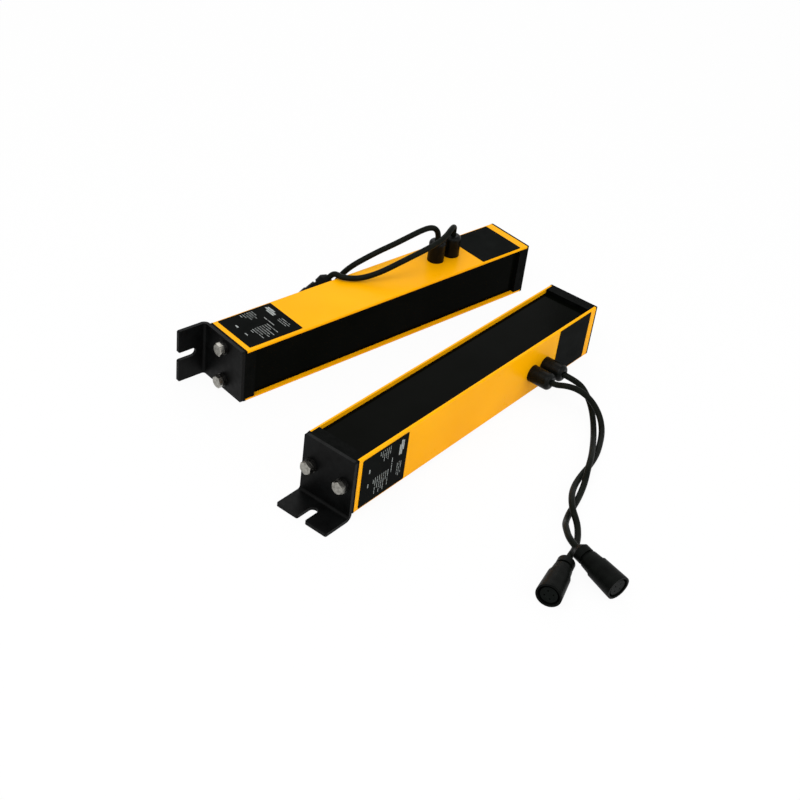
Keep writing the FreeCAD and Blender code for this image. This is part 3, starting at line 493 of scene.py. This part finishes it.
def printLabel(unit, settings, material):
    # every bar is a low box: its four corners at the film and at the ink's top
    side = barFrames[unit]["side"]
    bars = labelBars(settings)
    along = settings["start"] + bars[:, [0, 1, 1, 0]]
    across = bars[:, [2, 2, 3, 3]]
    height = settings["bottom"] + (across if side > 0 else settings["high"] - across)
    under = np.full_like(along, side * (settings["face"] - settings["sunk"]))
    over = np.full_like(along, side * (settings["face"] + settings["ink"]))
    low = np.stack([along, under, height], -1)
    top = np.stack([along, over, height], -1)
    points = np.concatenate([low, top], 1).reshape(-1, 3)
    box = np.array([
        [0, 1, 2, 3], [7, 6, 5, 4], [0, 4, 5, 1], [1, 5, 6, 2], [2, 6, 7, 3], [3, 7, 4, 0],
    ])
    faces = (box[None] + 8 * np.arange(len(bars))[:, None, None]).reshape(-1, 4)
    place = np.array(barPlace(unit))
    points = points @ place[:3, :3].T + place[:3, 3]
    mesh = bpy.data.meshes.new(unit + "_label_print")
    mesh.from_pydata(points.tolist(), [], faces.tolist())
    mesh.materials.append(material)
    piece = bpy.data.objects.new(unit + "_label_print", mesh)
    bpy.context.collection.objects.link(piece)
    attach(piece, "bars")


inkSettings = {
    "dark": (128, 133, 131), "light": (172, 177, 175), "cloud": 0.0015,
    "grain": 0.0004, "depth": 0.00001, "rough": (0.4, 0.5), "shine": 0.06,
}
printInk = moulded("printInk", inkSettings)
for unit in barFrames:
    printLabel(unit, labelSettings, printInk)
print("label print laid on both bars")


stageSettings = {
    "floorSize": 6.0,
    "floorDrop": 0.0002,
    "floorTone": (0.86, 0.86, 0.86, 1.0),
    "shadowShare": 0.06,
    "skyStrength": 0.62,
}


def whiteToLens(nodes, links):
    # 1 for what the lens sees straight, in a mirror or through glass, 0 for the object's light
    seen = nodes.new("ShaderNodeLightPath")
    either = nodes.new("ShaderNodeMath")
    both = nodes.new("ShaderNodeMath")
    either.operation = both.operation = "MAXIMUM"
    links.new(seen.outputs["Is Camera Ray"], either.inputs[0])
    links.new(seen.outputs["Is Glossy Ray"], either.inputs[1])
    links.new(either.outputs[0], both.inputs[0])
    links.new(seen.outputs["Is Transmission Ray"], both.inputs[1])
    return both.outputs[0]


def layFloor(settings):
    # a flat white floor that keeps a small share of the object's shadow
    half, drop = settings["floorSize"], settings["floorDrop"]
    corners = [(-half, -half, 0), (half, -half, 0), (half, half, 0), (-half, half, 0)]
    mesh = bpy.data.meshes.new("studioFloor")
    mesh.from_pydata(corners, [], [(0, 1, 2, 3)])
    floor = bpy.data.objects.new("studioFloor", mesh)
    bpy.context.collection.objects.link(floor)
    floor.location.z = cadBox[0].z - drop
    made = bpy.data.materials.new("studioFloor")
    made.use_nodes = True
    nodes, links = made.node_tree.nodes, made.node_tree.links
    nodes.clear()
    matt = nodes.new("ShaderNodeBsdfDiffuse")
    matt.inputs["Color"].default_value = settings["floorTone"]
    white = nodes.new("ShaderNodeEmission")
    share = nodes.new("ShaderNodeMath")
    share.operation = "MULTIPLY"
    share.inputs[1].default_value = 1 - settings["shadowShare"]
    links.new(whiteToLens(nodes, links), share.inputs[0])
    mixed = nodes.new("ShaderNodeMixShader")
    links.new(share.outputs[0], mixed.inputs[0])
    links.new(matt.outputs[0], mixed.inputs[1])
    links.new(white.outputs[0], mixed.inputs[2])
    out = nodes.new("ShaderNodeOutputMaterial")
    links.new(mixed.outputs[0], out.inputs["Surface"])
    mesh.materials.append(made)


def lightWorld(settings):
    # white to the lens and in reflections, a plain soft sky as light
    world = bpy.data.worlds.new("studioWorld")
    bpy.context.scene.world = world
    world.use_nodes = True
    nodes, links = world.node_tree.nodes, world.node_tree.links
    sky = nodes["Background"]
    sky.inputs["Color"].default_value = (1, 1, 1, 1)
    sky.inputs["Strength"].default_value = settings["skyStrength"]
    white = nodes.new("ShaderNodeBackground")
    white.inputs["Color"].default_value = (1, 1, 1, 1)
    mixed = nodes.new("ShaderNodeMixShader")
    links.new(whiteToLens(nodes, links), mixed.inputs[0])
    links.new(sky.outputs[0], mixed.inputs[1])
    links.new(white.outputs[0], mixed.inputs[2])
    links.new(mixed.outputs[0], nodes["World Output"].inputs["Surface"])


lampSettings = [
    {"name": "keyLamp", "at": (-0.9, -0.3, 1.5), "size": 1.2, "power": 14.5},
    {"name": "fillLamp", "at": (0.4, -1.5, 0.9), "size": 1.4, "power": 9.0},
    {"name": "backLamp", "at": (0.9, 1.2, 1.3), "size": 1.2, "power": 6.0},
]


def hangLamps(settings):
    # square soft lamps, each turned to look at the origin
    for each in settings:
        data = bpy.data.lights.new(each["name"], "AREA")
        data.size, data.energy = each["size"], each["power"]
        lamp = bpy.data.objects.new(each["name"], data)
        lamp.location = each["at"]
        lamp.rotation_euler = (-Vector(each["at"])).to_track_quat("-Z", "Y").to_euler()
        bpy.context.collection.objects.link(lamp)


layFloor(stageSettings)
lightWorld(stageSettings)
hangLamps(lampSettings)
bpy.context.scene.view_settings.view_transform = "Standard"
print("stage set")
